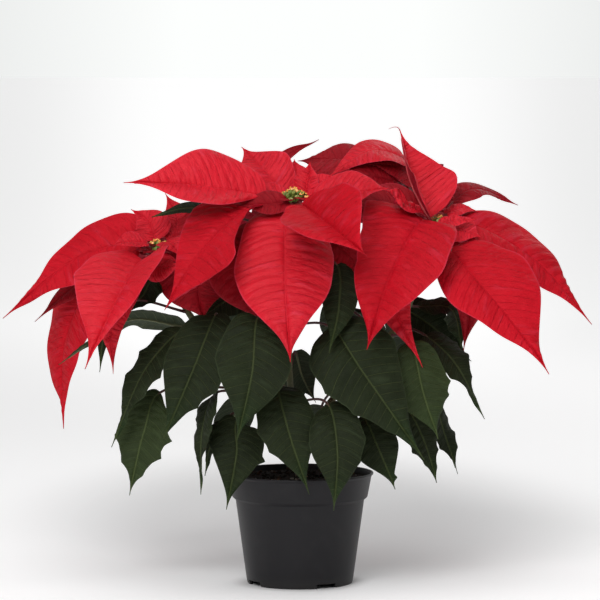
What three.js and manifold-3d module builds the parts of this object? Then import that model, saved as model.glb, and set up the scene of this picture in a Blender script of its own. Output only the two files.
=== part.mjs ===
// A poinsettia in its nursery pot. Millimetres, +Z up, the front looks along -Y.
// The pot stands on z = 0 with its axis on the origin.
import * as THREE from 'three';
import { mergeVertices } from 'three/addons/utils/BufferGeometryUtils.js';
import Module from 'manifold-3d';

const wasm = await Module();
wasm.setup();

// ---- driving dimensions -------------------------------------------------------------------------
const POT_HEIGHT = 98;
const RIM_RADIUS = 65;          // outer radius of the lip at the very top
const FOOT_RADIUS = 46.4;       // outer radius where the pot meets the floor
const POT_WALL = 1.3;
const BAND_HEIGHT = 22.5;       // the wider band under the lip
const BAND_TAPER = 3.6;         // how much narrower the band is at its foot
const BAND_STEP = 2.9;          // how far the band's foot stands out from the body
const LIP_HEIGHT = 2;
const LIP_STEP = 1.6;           // how far the lip stands out from the band
const FOOT_FLARE = [[0.9, 4.5], [1.7, 10]];   // the body rounds out above its foot: [out, up]
const FLOOR_LIFT = 4.6;         // the pot's floor is raised above its foot ring
const FOOT_RING_WIDTH = 3.4;
const NOTCH_HEIGHT = 4;         // four drainage notches in the foot ring
const NOTCH_WIDTH = 19;
const NOTCH_DEPTH = 16;
const NOTCH_TURN = -60;         // azimuth of the first notch, degrees
const DRAIN_RADIUS = 4;
const DRAIN_CIRCLE = 31;        // the four drain holes sit this far from the axis
const DRAIN_DEPTH = 8;
const GAP = 0.3;                // clearance between touching pieces
const SOIL_BELOW_RIM = 6.4;
const SOIL_MOUND = 1.6;         // the soil is heaped this much around the stem
const SOIL_SHRINKAGE = 1;       // its top edge has drawn back from the wall
const STEM_PLANTED = 24;        // how deep the stem stands in the soil

const STEM_RADIUS = 5;
const BRANCH_RADIUS = 3.2;
const TIP_RADIUS = 2.2;
const PETIOLE_RADIUS = 1.2;
const BLADE_THICKNESS = 0.9;
const BLADE_TIP_RADIUS = 0.35;

const SOIL_TOP = POT_HEIGHT - SOIL_BELOW_RIM;
const STEM_FOOT = SOIL_TOP + SOIL_MOUND - STEM_PLANTED;

// ---- colours ------------------------------------------------------------------------------------
const material = (color, roughness, metalness = 0) =>
  new THREE.MeshStandardMaterial({ color, roughness, metalness });

const BRACT_RED = material('#d4202c', 0.55);
const LEAF_GREEN = material('#2c3a2a', 0.5);
const STEM_GREEN = material('#4b5a2e', 0.6);
const CUP_GREEN = material('#7d8a2a', 0.5);
const POT_BLACK = material('#2b2b2d', 0.42);
const SOIL_BROWN = material('#241812', 0.95);

// ---- solids -------------------------------------------------------------------------------------
const vec = ([x, y, z]) => new THREE.Vector3(x, y, z);

function solidOf(geometry) {
  const bare = geometry.clone();
  bare.deleteAttribute('normal');
  bare.deleteAttribute('uv');
  const merged = mergeVertices(bare, 1e-4);
  const triVerts = Uint32Array.from(merged.index.array);
  return new wasm.Manifold(new wasm.Mesh({
    numProp: 3,
    vertProperties: merged.attributes.position.array,
    triVerts,
  }));
}

function geometryOf(solid) {
  const mesh = solid.getMesh();
  const geometry = new THREE.BufferGeometry();
  geometry.setAttribute('position', new THREE.BufferAttribute(mesh.vertProperties, 3));
  geometry.setIndex(new THREE.BufferAttribute(mesh.triVerts, 1));
  geometry.computeVertexNormals();
  return geometry;
}

const joinAll = (solids) => solids.reduce((sum, next) => sum.add(next));

// A closed skin through rings of points that all have the same count, capped at both ends.
function loft(rings) {
  const count = rings[0].length;
  const points = rings.flat();
  const faces = [];
  for (let r = 0; r < rings.length - 1; r++) {
    for (let i = 0; i < count; i++) {
      const a = r * count + i;
      const b = r * count + ((i + 1) % count);
      faces.push(a, b, b + count, a, b + count, a + count);
    }
  }
  const last = (rings.length - 1) * count;
  for (let i = 1; i < count - 1; i++) {
    faces.push(0, i + 1, i, last, last + i, last + i + 1);
  }
  const geometry = new THREE.BufferGeometry().setFromPoints(points);
  geometry.setIndex(faces);
  return solidOf(geometry);
}

// ---- pot and soil -------------------------------------------------------------------------------
// Outer profile of the pot from the foot to the lip, as [radius, height].
const BAND_TOP_RADIUS = RIM_RADIUS - LIP_STEP;
const BAND_FOOT = POT_HEIGHT - BAND_HEIGHT;
const BAND_FOOT_RADIUS = BAND_TOP_RADIUS - BAND_TAPER;
const BODY_TOP_RADIUS = BAND_FOOT_RADIUS - BAND_STEP;
const POT_OUTSIDE = [
  [FOOT_RADIUS, 0],
  ...FOOT_FLARE.map(([out, up]) => [FOOT_RADIUS + out, up]),
  [BODY_TOP_RADIUS, BAND_FOOT - 1.5],
  [BAND_FOOT_RADIUS, BAND_FOOT + 1],
  [BAND_TOP_RADIUS, POT_HEIGHT - LIP_HEIGHT - 1.4],
  [RIM_RADIUS, POT_HEIGHT - LIP_HEIGHT],
  [RIM_RADIUS, POT_HEIGHT],
];
// Inner profile from the lip down to the middle of the raised floor.
const POT_INSIDE = [
  [BAND_TOP_RADIUS - POT_WALL + 0.6, POT_HEIGHT],
  [BAND_TOP_RADIUS - POT_WALL, POT_HEIGHT - LIP_HEIGHT],
  [BAND_FOOT_RADIUS - POT_WALL, BAND_FOOT],
  [BODY_TOP_RADIUS - POT_WALL, BAND_FOOT - 3],
  [FOOT_RADIUS + 0.2, FLOOR_LIFT + 4],
  [FOOT_RADIUS - 1, FLOOR_LIFT + POT_WALL],
  [0, FLOOR_LIFT + POT_WALL],
];
const LATHE_SIDES = 30;
const DRAIN_SIDES = 8;

function latheSolid(profile) {
  const points = profile.map(([radius, height]) => new THREE.Vector2(radius, height));
  const geometry = new THREE.LatheGeometry(points, LATHE_SIDES);
  geometry.rotateX(Math.PI / 2);
  return solidOf(geometry);
}

function potSolid() {
  const underside = [
    [0, FLOOR_LIFT],
    [FOOT_RADIUS - FOOT_RING_WIDTH, FLOOR_LIFT],
    [FOOT_RADIUS - FOOT_RING_WIDTH, 0],
  ];
  let pot = latheSolid([...underside, ...POT_OUTSIDE, ...POT_INSIDE]);
  for (let quarter = 0; quarter < 4; quarter++) {
    const turn = THREE.MathUtils.degToRad(NOTCH_TURN + 90 * quarter);
    const notch = new THREE.BoxGeometry(NOTCH_DEPTH, NOTCH_WIDTH, 2 * NOTCH_HEIGHT);
    notch.translate(FOOT_RADIUS, 0, 0);
    notch.rotateZ(turn);
    const drain = new THREE.CylinderGeometry(DRAIN_RADIUS, DRAIN_RADIUS, DRAIN_DEPTH, DRAIN_SIDES);
    drain.rotateX(Math.PI / 2);
    drain.translate(DRAIN_CIRCLE, 0, FLOOR_LIFT);
    drain.rotateZ(turn + Math.PI / 4);
    pot = pot.subtract(solidOf(notch)).subtract(solidOf(drain));
  }
  return pot;
}

// The soil fills the pot from its floor, with a blind hole where the stem is planted.
function soilSolid() {
  const wall = POT_INSIDE.slice(1, 6).map(([radius, height]) => [radius - GAP, height]).reverse();
  const side = wall.filter(([, height]) => height < SOIL_TOP - 2);
  const holeRadius = STEM_RADIUS + GAP;
  return latheSolid([
    [0, FLOOR_LIFT + POT_WALL + GAP],
    [side[0][0] - GAP, FLOOR_LIFT + POT_WALL + GAP],
    ...side.slice(1),
    [BAND_TOP_RADIUS - POT_WALL - GAP - SOIL_SHRINKAGE, SOIL_TOP],
    [40, SOIL_TOP + 0.2 * SOIL_MOUND],
    [16, SOIL_TOP + SOIL_MOUND],
    [holeRadius, SOIL_TOP + SOIL_MOUND],
    [holeRadius, STEM_FOOT - GAP],
    [0, STEM_FOOT - GAP],
  ]);
}

// ---- stems --------------------------------------------------------------------------------------
// Each stem is a curve through these points; the five branches leave the main stem.
const FORK = [0, 0, 122];
const STEMS = {
  main: [[0, 0, STEM_FOOT], [0, 0, 95], [1, 2, 135]],
  front: [FORK, [-8, -14, 170], [-10, -10, 250], [-5, 0, 338]],
  left: [FORK, [-44, -4, 178], [-98, 4, 238], [-126, 10, 292]],
  right: [FORK, [46, -6, 172], [96, 2, 246], [122, 5, 314]],
  back_left: [FORK, [-22, 36, 190], [-50, 86, 265], [-60, 108, 326]],
  back_right: [FORK, [42, 32, 180], [84, 68, 268], [108, 80, 344]],
};
const stemCurve = (name) => new THREE.CatmullRomCurve3(STEMS[name].map(vec));
const STEM_SIDES = 8;
const STEM_STEPS = 7;

function stemTube(name, extra = 0) {
  const curve = stemCurve(name);
  const frames = curve.computeFrenetFrames(STEM_STEPS);
  const startRadius = name === 'main' ? STEM_RADIUS : BRANCH_RADIUS;
  const endRadius = name === 'main' ? BRANCH_RADIUS : TIP_RADIUS;
  const rings = [];
  for (let step = 0; step <= STEM_STEPS; step++) {
    const share = step / STEM_STEPS;
    const centre = curve.getPointAt(share);
    if (step === 0) centre.addScaledVector(frames.tangents[0], -extra);
    if (step === STEM_STEPS) centre.addScaledVector(frames.tangents[step], extra);
    const radius = THREE.MathUtils.lerp(startRadius, endRadius, share) + extra;
    rings.push(Array.from({ length: STEM_SIDES }, (_, i) => {
      const turn = (2 * Math.PI * i) / STEM_SIDES;
      return centre.clone()
        .addScaledVector(frames.normals[step], radius * Math.cos(turn))
        .addScaledVector(frames.binormals[step], radius * Math.sin(turn));
    }));
  }
  return loft(rings);
}

const stemSolid = (extra) => joinAll(Object.keys(STEMS).map((name) => stemTube(name, extra)));

// ---- leaves and bracts --------------------------------------------------------------------------
// A blade follows a curve through the point where its stalk leaves the stem, the foot of the blade,
// its middle and its tip. Its upper side looks towards the azimuth and elevation given, in degrees,
// and the fold lifts (or with a minus sign drops) both halves beside the midrib. The outline is
// widest at a share of the blade's length and runs out into a drawn-out point.
const RING = Array.from({ length: 8 }, (_, i) => (-Math.PI * i) / 4);
const BLADE_STEPS = 7;
const STALK_STEPS = 2;
const WIDEST = 0.4;
const FULLNESS = 0.55;          // a small power keeps the foot of the blade round
const POINTEDNESS = 1.5;        // the power grows this much towards the tip

// Half the width at a share of the length, as a share of the widest half width.
function outline(share, widest) {
  const warp = Math.log(0.5) / Math.log(widest);
  return Math.sin(Math.PI * share ** warp) ** (FULLNESS + POINTEDNESS * share);
}

function bladeSolid(root, [foot, middle, tip, width, faces, fold, widest = WIDEST]) {
  const curve = new THREE.CatmullRomCurve3([root, vec(foot), vec(middle), vec(tip)]);
  const [azimuth, elevation] = faces.map(THREE.MathUtils.degToRad);
  const up = new THREE.Vector3(
    Math.cos(elevation) * Math.cos(azimuth),
    Math.cos(elevation) * Math.sin(azimuth),
    Math.sin(elevation),
  );
  const rise = Math.tan(THREE.MathUtils.degToRad(fold));
  const rings = [];
  for (let step = -STALK_STEPS; step <= BLADE_STEPS; step++) {
    const share = Math.max(0, step / BLADE_STEPS);
    const along = step < 0 ? (1 + step / STALK_STEPS) / 3 : (1 + 2 * share) / 3;
    const centre = curve.getPoint(along);
    const tangent = curve.getTangent(along);
    const side = new THREE.Vector3().crossVectors(tangent, up).normalize();
    const normal = new THREE.Vector3().crossVectors(side, tangent);
    const taper = THREE.MathUtils.lerp(PETIOLE_RADIUS, BLADE_TIP_RADIUS, share);
    const spread = step <= 0 || step === BLADE_STEPS ? 0 : outline(share, widest);
    const half = taper + (width / 2 - taper) * spread;
    const thick = step <= 0 ? PETIOLE_RADIUS : Math.min(taper, BLADE_THICKNESS / 2);
    rings.push(RING.map((turn) => {
      const across = half * Math.cos(turn);
      const lift = spread > 0 ? Math.abs(across) * rise : 0;
      return centre.clone()
        .addScaledVector(side, across)
        .addScaledVector(normal, thick * Math.sin(turn) + lift);
    }));
  }
  return loft(rings);
}

// The bracts of each head. Rows: share of the stem's length where the stalk leaves it, foot, middle,
// tip, width, facing, fold and, where it isn't two fifths, the share where the blade is widest.
const BRACTS = {
  front: [
    [0.95, [-11, -13, 328], [-13, -82, 273], [-8, -136, 207], 86, [-90, 40], -6],
    [0.985, [1, -17, 335], [25, -84, 320], [56, -143, 297], 70, [-120, 52], 30, 0.5],
    [0.98, [6, -3, 340], [40, -20, 345], [78, -38, 350], 60, [-108, 50], 8, 0.45],
    [0.985, [-12, 8, 342], [-33, 27, 366], [-52, 44, 384], 50, [-95, 55], 8, 0.45],
    [0.97, [-30, -6, 341], [-88, -26, 352], [-153, -40, 355], 70, [-90, 47], 18],
    [0.96, [-34, -16, 336], [-80, -68, 303], [-115, -110, 249], 66, [-120, 38], 4],
    [0.9, [-20, -10, 313], [-50, -38, 276], [-28, -50, 228], 64, [-100, 20], 0],
    [0.88, [-62, -3, 296], [-88, -6, 264], [-84, -20, 232], 82, [-95, 20], 0],
    [0.91, [10, -12, 314], [48, -40, 284], [56, -50, 242], 36, [-100, 20], 0],
    [0.94, [4, 12, 330], [30, 50, 338], [50, 86, 318], 52, [90, 70], -5],
  ],
  right: [
    [0.955, [109, -18, 322], [79, -72, 280], [57, -106, 215], 90, [-100, 40], 8, 0.38],
    [0.965, [110, 4, 322], [92, -18, 336], [73, -32, 349], 30, [-100, 50], 10],
    [0.985, [114, -5, 323], [98, 6, 355], [88, 14, 400], 60, [-40, 20], 40],
    [0.955, [135, 25, 335], [155, 38, 347], [195, 48, 332], 33, [-90, 65], 0],
    [0.95, [142, 2, 318], [204, 2, 288], [257, -6, 229], 66, [-60, 48], -4, 0.35],
    [0.93, [133, -22, 298], [171, -66, 261], [213, -95, 193], 84, [-85, 45], 0],
    [0.88, [128, 0, 296], [149, -5, 258], [144, -8, 206], 40, [-70, 15], 0],
    [0.9, [108, -10, 300], [80, -42, 260], [106, -62, 196], 38, [-100, 20], 0],
    [0.94, [128, 22, 306], [150, 62, 290], [168, 98, 246], 62, [80, 50], -5],
  ],
  back_right: [
    [0.98, [96, 67, 370], [66, 58, 381], [24, 48, 356], 60, [-90, 71], 0],
    [0.96, [96, 55, 349], [62, 41, 358], [20, 31, 345], 52, [-90, 50], 0],
    [0.97, [86, 88, 350], [42, 100, 371], [-2, 106, 370], 56, [-90, 60], 0],
    [0.96, [110, 96, 344], [113, 130, 330], [114, 144, 272], 74, [90, 45], -5],
    [0.94, [122, 86, 328], [166, 112, 300], [202, 128, 250], 68, [40, 50], -5],
  ],
  left: [
    [0.96, [-139, 18, 299], [-194, 16, 288], [-262, 0, 234], 68, [-112, 34], -4, 0.35],
    [0.94, [-138, -9, 286], [-157, -58, 257], [-184, -90, 197], 78, [-115, 35], 26],
    [0.92, [-168, 30, 284], [-209, 38, 214], [-211, 30, 133], 66, [-145, 0], 0],
    [0.98, [-113, 18, 300], [-109, 28, 322], [-120, 38, 343], 30, [-90, 40], 10],
    [0.88, [-138, -6, 274], [-163, -30, 240], [-163, -34, 188], 28, [-90, 10], 0],
    [0.93, [-130, 24, 290], [-138, 62, 288], [-134, 98, 256], 62, [90, 60], -5],
  ],
  back_left: [
    [0.97, [-63, 122, 328], [-68, 142, 300], [-72, 145, 246], 72, [90, 40], -5],
    [0.94, [-80, 112, 312], [-122, 118, 284], [-160, 124, 234], 66, [130, 50], -5],
    [0.98, [-74, 98, 326], [-108, 84, 320], [-139, 70, 289], 46, [180, 75], -5],
    [0.965, [-42, 113, 331], [-14, 130, 322], [4, 142, 270], 60, [70, 45], -5],
  ],
};
// The green leaves, with the stem that each one grows from before the same row.
const LEAVES = [
  ['front', 0.4, [-36, -70, 240], [-41, -96, 194], [-54, -100, 136], 63, [-90, 15], 0],
  ['left', 0.55, [-73, -45, 241], [-94, -66, 190], [-118, -72, 134], 58, [-110, 15], 0],
  ['left', 0.6, [-101, -10, 225], [-134, -22, 193], [-165, -30, 123], 34, [-130, 25], 0],
  ['left', 0.3, [-123, -5, 169], [-137, -14, 136], [-150, -16, 79], 48, [-115, 15], 0],
  ['left', 0.25, [-74, -50, 172], [-84, -60, 145], [-86, -58, 85], 38, [-155, 10], 0],
  ['front', 0.16, [-54, -38, 149], [-55, -52, 121], [-64, -52, 71], 46, [-90, 15], 0],
  ['front', 0.22, [-19, -58, 180], [-10, -79, 143], [8, -82, 88], 50, [-85, 15], 0],
  ['front', 0.19, [24, -70, 165], [32, -93, 127], [29, -90, 75], 47, [-90, 15], 0],
  ['front', 0.5, [26, -58, 231], [53, -80, 195], [107, -84, 118], 76, [-90, 30], 0],
  ['right', 0.55, [96, -45, 217], [107, -55, 173], [120, -56, 133], 48, [-80, 15], 0],
  ['right', 0.6, [110, -12, 220], [135, -20, 197], [162, -22, 147], 42, [-45, 30], 0],
  ['right', 0.68, [105, 22, 243], [134, 24, 241], [144, 20, 205], 34, [-60, 60], 0],
  ['right', 0.2, [54, -30, 151], [69, -44, 122], [83, -46, 88], 40, [-80, 20], 0],
  ['left', 0.7, [-99, 6, 228], [-150, 6, 233], [-213, -2, 193], 37, [90, 60], 0],
  ['back_left', 0.5, [-40, 70, 235], [-50, 105, 205], [-58, 118, 140], 60, [105, 20], 0],
  ['back_right', 0.5, [40, 66, 240], [52, 102, 205], [60, 118, 145], 60, [75, 20], 0],
  ['back_left', 0.3, [-14, 62, 190], [-20, 96, 160], [-26, 104, 105], 52, [95, 20], 0],
  ['back_right', 0.6, [85, 60, 230], [100, 82, 200], [110, 92, 150], 46, [45, 20], 0],
];

// A head is a small receptacle on the stem's end with a tuft of cups and its youngest bracts.
// Rows of the young bracts: head, foot, middle, tip, width, facing, fold.
const RECEPTACLE_RADIUS = 3.6;
const CUP_RADIUS = 2.5;
const CUP_HEIGHT = 7;
const CUP_SPACING = 2.3;
const CUP_LIFT = 9.5;           // the middle cup's centre above the stem's end
const CUP_DROOP = 0.22;         // the outer cups sit this much lower per millimetre outward
const CUP_COUNTS = { front: 11, left: 6, right: 7, back_left: 7, back_right: 7 };
const YOUNG_BRACTS = [
  ['front', [3, 4, 343], [8, 8, 355], [13, 10, 364], 12, [-110, 30], 20],
  ['front', [-1, 11, 344], [-4, 30, 361], [-5, 44, 373], 30, [-90, 45], 8],
  ['left', [-134, 2, 300], [-149, -4, 302], [-165, -12, 299], 20, [-90, 50], 15],
  ['left', [-128, 15, 302], [-133, 22, 317], [-150, 30, 329], 34, [-95, 35], 8],
  ['left', [-120, 4, 300], [-113, -8, 301], [-101, -17, 286], 26, [-80, 50], 8],
  ['left', [-124, -6, 292], [-121, -22, 281], [-103, -33, 284], 32, [-100, 40], -15],
  ['right', [126, 0, 324], [140, -6, 328], [154, -10, 324], 17, [-90, 60], 0],
  ['right', [129, 10, 325], [143, 13, 331], [158, 17, 327], 20, [-90, 65], 0],
  ['right', [126, -6, 316], [145, -15, 312], [158, -20, 307], 30, [-80, 40], 0],
  ['back_left', [-54, 104, 334], [-44, 94, 346], [-32, 86, 348], 24, [-90, 60], 5],
  ['back_left', [-62, 116, 336], [-66, 128, 346], [-72, 140, 346], 26, [90, 60], 5],
  ['back_right', [112, 86, 354], [120, 98, 362], [128, 110, 360], 28, [90, 60], 5],
  ['back_right', [114, 76, 352], [128, 74, 360], [142, 72, 356], 22, [0, 75], 5],
];

function cupSolid(centre) {
  const cup = new THREE.SphereGeometry(CUP_RADIUS, 6, 4);
  cup.rotateX(Math.PI / 2);
  cup.scale(1, 1, CUP_HEIGHT / (2 * CUP_RADIUS));
  cup.translate(centre.x, centre.y, centre.z);
  return solidOf(cup);
}

function headSolid(head) {
  const top = vec(STEMS[head].at(-1));
  const heart = top.clone().setZ(top.z + RECEPTACLE_RADIUS + GAP);
  const receptacle = new THREE.SphereGeometry(RECEPTACLE_RADIUS, 10, 6);
  receptacle.translate(heart.x, heart.y, heart.z);
  const parts = [solidOf(receptacle)];
  const count = CUP_COUNTS[head];
  for (let i = 0; i < count; i++) {
    // The cups sit on a sunflower spiral.
    const turn = i * Math.PI * (3 - Math.sqrt(5));
    const reach = CUP_SPACING * Math.sqrt(i);
    parts.push(cupSolid(new THREE.Vector3(
      top.x + reach * Math.cos(turn),
      top.y + reach * Math.sin(turn),
      top.z + CUP_LIFT - CUP_DROOP * reach,
    )));
  }
  for (const [owner, ...shape] of YOUNG_BRACTS) {
    if (owner === head) parts.push(bladeSolid(heart, shape));
  }
  return joinAll(parts);
}

// ---- the model ----------------------------------------------------------------------------------
const plant = new THREE.Group();

function addPiece(name, solid, look) {
  const mesh = new THREE.Mesh(geometryOf(solid), look);
  mesh.name = name;
  plant.add(mesh);
}

// Blades and heads are cut back from the stem, so that they touch it without growing into it.
const stemClearance = stemSolid(GAP);

function addBlade(name, stem, [at, ...shape], look) {
  const root = stemCurve(stem).getPointAt(at);
  addPiece(name, bladeSolid(root, shape).subtract(stemClearance), look);
}

addPiece('pot', potSolid(), POT_BLACK);
addPiece('soil', soilSolid(), SOIL_BROWN);
addPiece('stem', stemSolid(0), STEM_GREEN);
for (const head of Object.keys(CUP_COUNTS)) {
  addPiece(`flower_head_${head}`, headSolid(head).subtract(stemClearance), CUP_GREEN);
}
for (const [stem, rows] of Object.entries(BRACTS)) {
  rows.forEach((row, i) => addBlade(`bract_${stem}_${i + 1}`, stem, row, BRACT_RED));
}
LEAVES.forEach(([stem, ...row], i) => addBlade(`leaf_${i + 1}`, stem, row, LEAF_GREEN));

export default plant;
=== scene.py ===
"""A poinsettia in its nursery pot: fine shapes, materials, light and camera.

Blender's frame is the model's: metres, +Z up, the front towards -Y, the pot's axis on the origin.
Rows of sizes and places below are in millimetres and are scaled by MM when a mesh is made. Camera,
lights and the sizes in materials are in metres.
"""
import random
from dataclasses import dataclass
from itertools import product
from math import cos, degrees, log, pi, radians, sin, sqrt, tan, tau

import bpy
import numpy as np
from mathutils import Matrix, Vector, noise


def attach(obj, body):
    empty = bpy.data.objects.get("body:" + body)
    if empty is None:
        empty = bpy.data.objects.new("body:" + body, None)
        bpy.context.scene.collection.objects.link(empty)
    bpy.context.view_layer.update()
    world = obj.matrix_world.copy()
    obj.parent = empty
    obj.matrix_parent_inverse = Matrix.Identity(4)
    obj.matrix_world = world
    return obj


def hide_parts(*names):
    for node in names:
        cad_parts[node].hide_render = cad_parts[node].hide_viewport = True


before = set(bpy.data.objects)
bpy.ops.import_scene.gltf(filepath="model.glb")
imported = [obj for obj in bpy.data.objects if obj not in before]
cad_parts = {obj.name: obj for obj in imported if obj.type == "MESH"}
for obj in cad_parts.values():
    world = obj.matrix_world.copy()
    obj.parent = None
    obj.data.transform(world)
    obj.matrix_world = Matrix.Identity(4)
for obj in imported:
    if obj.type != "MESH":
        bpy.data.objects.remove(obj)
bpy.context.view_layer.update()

MM = 0.001

# ---- pot ----
POT_HEIGHT = 98
RIM_RADIUS = 65
BAND_RADIUS = 63.4              # at the top of the band under the lip
FOOT_RADIUS = 46.4
FOOT_INNER_RADIUS = 43
POT_FLOOR = 4.6
POT_WALL = 1.3
POT_SIDES = 144
NOTCH_SIZE = (16, 19, 8.0)      # depth, width and twice the height of a drainage notch
NOTCH_TURN = -60
DRAIN_RADIUS = 4
DRAIN_CIRCLE = 31
SOIL_TOP = 93.2
SOIL_MOUND = 1.6
MOUND_RUN = 45                  # the mound rises over this distance from the soil's edge
SOIL_RADIUS = 60.8
CRUMB_COUNT = 420
CRUMB_RADII = (7, 59)           # crumbs lie between these distances from the axis

# ---- stems ----
FORK = (0, 0, 122)
STEMS = {
    "main": [(0, 0, 69.2), (0, 0, 95), (1, 2, 135)],
    "front": [FORK, (-8, -14, 170), (-10, -10, 250), (-5, 0, 338)],
    "left": [FORK, (-44, -4, 178), (-98, 4, 238), (-126, 10, 292)],
    "right": [FORK, (46, -6, 172), (96, 2, 246), (122, 5, 314)],
    "back_left": [FORK, (-22, 36, 190), (-50, 86, 265), (-60, 108, 326)],
    "back_right": [FORK, (42, 32, 180), (84, 68, 268), (108, 80, 344)],
}
STEM_RADIUS = 5
BRANCH_RADIUS = 3.2
TIP_RADIUS = 2.2
SWELLING = 0.5                  # how much thicker a stem is where a stalk leaves it

# ---- bracts and leaves ----
# Rows: share of the stem's length where the stalk leaves it, foot, middle, tip, width, facing
# (azimuth, elevation) and fold, then where needed a tone, which is a name in BLADE_LOOKS, and details
# of the blade's form (see Blade).
# Tones other than bract and leaf are copies of a material with painted shade or painted light. This one
# darkens a bract with the deepest painted shade.
DARK_SHADE_PAINTED = dict(tone="deep")
BRACTS = {
    "front": [
        (0.95, (-11, -13, 328), (-13, -82, 273), (-8, -136, 207), 86, (-90, 40), -6,
         dict(full=0.36, quilt=1.2, slant=0.15, arch=0.12)),
        (0.985, (1, -17, 335), (25, -84, 320), (56, -143, 297), 70, (-120, 52), 30,
         dict(tone="mid", widest=0.5, full=0.75, quilt=0.9, slant=0.4)),
        (0.98, (6, -3, 340), (40, -20, 345), (78, -38, 350), 60, (-108, 50), 8,
         dict(widest=0.45, full=0.35, quilt=0.9, wave=2.4, teeth=((-1, 0.4, 0.5, -0.24),))),
        (0.985, (-12, 8, 342), (-33, 27, 366), (-52, 44, 384), 50, (-95, 55), 8,
         dict(widest=0.45, quilt=0.5, wave=2.8)),
        (0.97, (-30, -6, 341), (-88, -26, 352), (-153, -40, 355), 70, (-90, 47), 18,
         dict(widest=(0.4, 0.5), full=(0.55, 1.3), quilt=0.6, slant=0.3)),
        (0.96, (-34, -16, 336), (-80, -68, 303), (-115, -110, 249), 66, (-120, 38), 4,
         dict(tone="mid", widest=(0.3, 0.68), full=(0.38, 0.3), quilt=0.7, curl=(-1, 6),
              teeth=((1, 0.25, 0.3, 0.35), (-1, 0.58, 0.4, 0.42)))),
        (0.9, (-20, -10, 313), (-50, -38, 276), (-28, -50, 228), 64, (-100, 20), 0, DARK_SHADE_PAINTED),
        (0.88, (-62, -3, 296), (-88, -6, 264), (-84, -20, 232), 82, (-95, 20), 0, DARK_SHADE_PAINTED),
        (0.91, (10, -12, 314), (48, -40, 284), (56, -50, 242), 36, (-100, 20), 0, DARK_SHADE_PAINTED),
        (0.94, (4, 12, 330), (30, 50, 338), (50, 86, 318), 52, (90, 70), -5),
    ],
    "right": [
        (0.955, (109, -18, 322), (79, -72, 280), (57, -106, 215), 90, (-100, 40), 8,
         dict(tone="mid", widest=0.38, full=0.36, quilt=1.1,
              teeth=((1, 0.09, 0.22, 0.6), (1, 0.5, 0.4, -0.27)))),
        (0.965, (110, 4, 322), (92, -18, 336), (73, -32, 349), 30, (-100, 50), 10,
         dict(widest=0.55, full=0.35, quilt=1.5, wave=2.5, crinkle=1.3)),
        (0.985, (114, -5, 323), (98, 6, 355), (88, 14, 400), 60, (-40, 20), 40,
         dict(quilt=0.3, teeth=((-1, 0.8, 0.15, 0.8),), thread=(-10, 0, 1.5))),
        (0.955, (135, 25, 335), (155, 38, 347), (195, 48, 332), 33, (-90, 65), 0, DARK_SHADE_PAINTED),
        (0.95, (142, 2, 318), (204, 2, 288), (257, -6, 229), 66, (-60, 48), -4,
         dict(tone="mid", widest=0.35, quilt=0.9)),
        (0.93, (133, -22, 298), (171, -66, 261), (213, -95, 193), 84, (-85, 45), 0,
         dict(tone="mid", lean=0.2, quilt=1.0, slant=0.6)),
        (0.88, (128, 0, 296), (149, -5, 258), (144, -8, 206), 40, (-70, 15), 0, DARK_SHADE_PAINTED),
        (0.9, (108, -10, 300), (80, -42, 260), (106, -62, 196), 38, (-100, 20), 0),
        (0.94, (128, 22, 306), (150, 62, 290), (168, 98, 246), 62, (80, 50), -5),
    ],
    "back_right": [
        (0.98, (96, 67, 370), (66, 58, 381), (24, 48, 356), 60, (-90, 71), 0),
        (0.96, (96, 55, 349), (62, 41, 358), (20, 31, 345), 52, (-90, 50), 0,
         dict(tone="deep", widest=0.3, full=0.3)),
        (0.97, (86, 88, 350), (42, 100, 371), (-2, 106, 370), 56, (-90, 60), 0,
         dict(tone="deep", widest=(0.45, 0.6), teeth=((-1, 0.72, 0.35, 0.8),))),
        (0.96, (110, 96, 344), (113, 130, 330), (114, 144, 272), 74, (90, 45), -5),
        (0.94, (122, 86, 328), (166, 112, 300), (202, 128, 250), 68, (40, 50), -5),
    ],
    "left": [
        (0.96, (-139, 18, 299), (-194, 16, 288), (-262, 0, 234), 68, (-112, 34), -4,
         dict(tone="mid", widest=(0.23, 0.35), full=0.4, quilt=0.9)),
        (0.94, (-138, -9, 286), (-157, -58, 257), (-184, -90, 197), 78, (-115, 35), 26,
         dict(widest=(0.4, 0.28), quilt=0.9)),
        (0.92, (-168, 30, 284), (-209, 38, 214), (-211, 30, 133), 66, (-145, 0), 0,
         dict(tone="mid", full=0.4)),
        (0.98, (-113, 18, 300), (-109, 28, 322), (-120, 38, 343), 30, (-90, 40), 10),
        (0.88, (-138, -6, 274), (-163, -30, 240), (-163, -34, 188), 28, (-90, 10), 0),
        (0.93, (-130, 24, 290), (-138, 62, 288), (-134, 98, 256), 62, (90, 60), -5),
    ],
    "back_left": [
        (0.97, (-63, 122, 328), (-68, 142, 300), (-72, 145, 246), 72, (90, 40), -5),
        (0.94, (-80, 112, 312), (-122, 118, 284), (-160, 124, 234), 66, (130, 50), -5),
        (0.98, (-74, 98, 326), (-108, 84, 320), (-139, 70, 289), 46, (180, 75), -5),
        (0.965, (-42, 113, 331), (-14, 130, 322), (4, 142, 270), 60, (70, 45), -5),
    ],
}
# The points of the margin of a leaf with lobes all along.
LOBES = ((1, 0.25, 0.08, 0.15), (1, 0.42, 0.06, 0.22), (1, 0.6, 0.06, 0.28), (1, 0.78, 0.06, 0.3),
         (-1, 0.33, 0.07, 0.18), (-1, 0.52, 0.06, 0.26), (-1, 0.68, 0.06, 0.28), (-1, 0.84, 0.05, 0.3))


def lobed(wave=1.6, **form):
    return dict(wave=wave, teeth=LOBES, **form)


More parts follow.
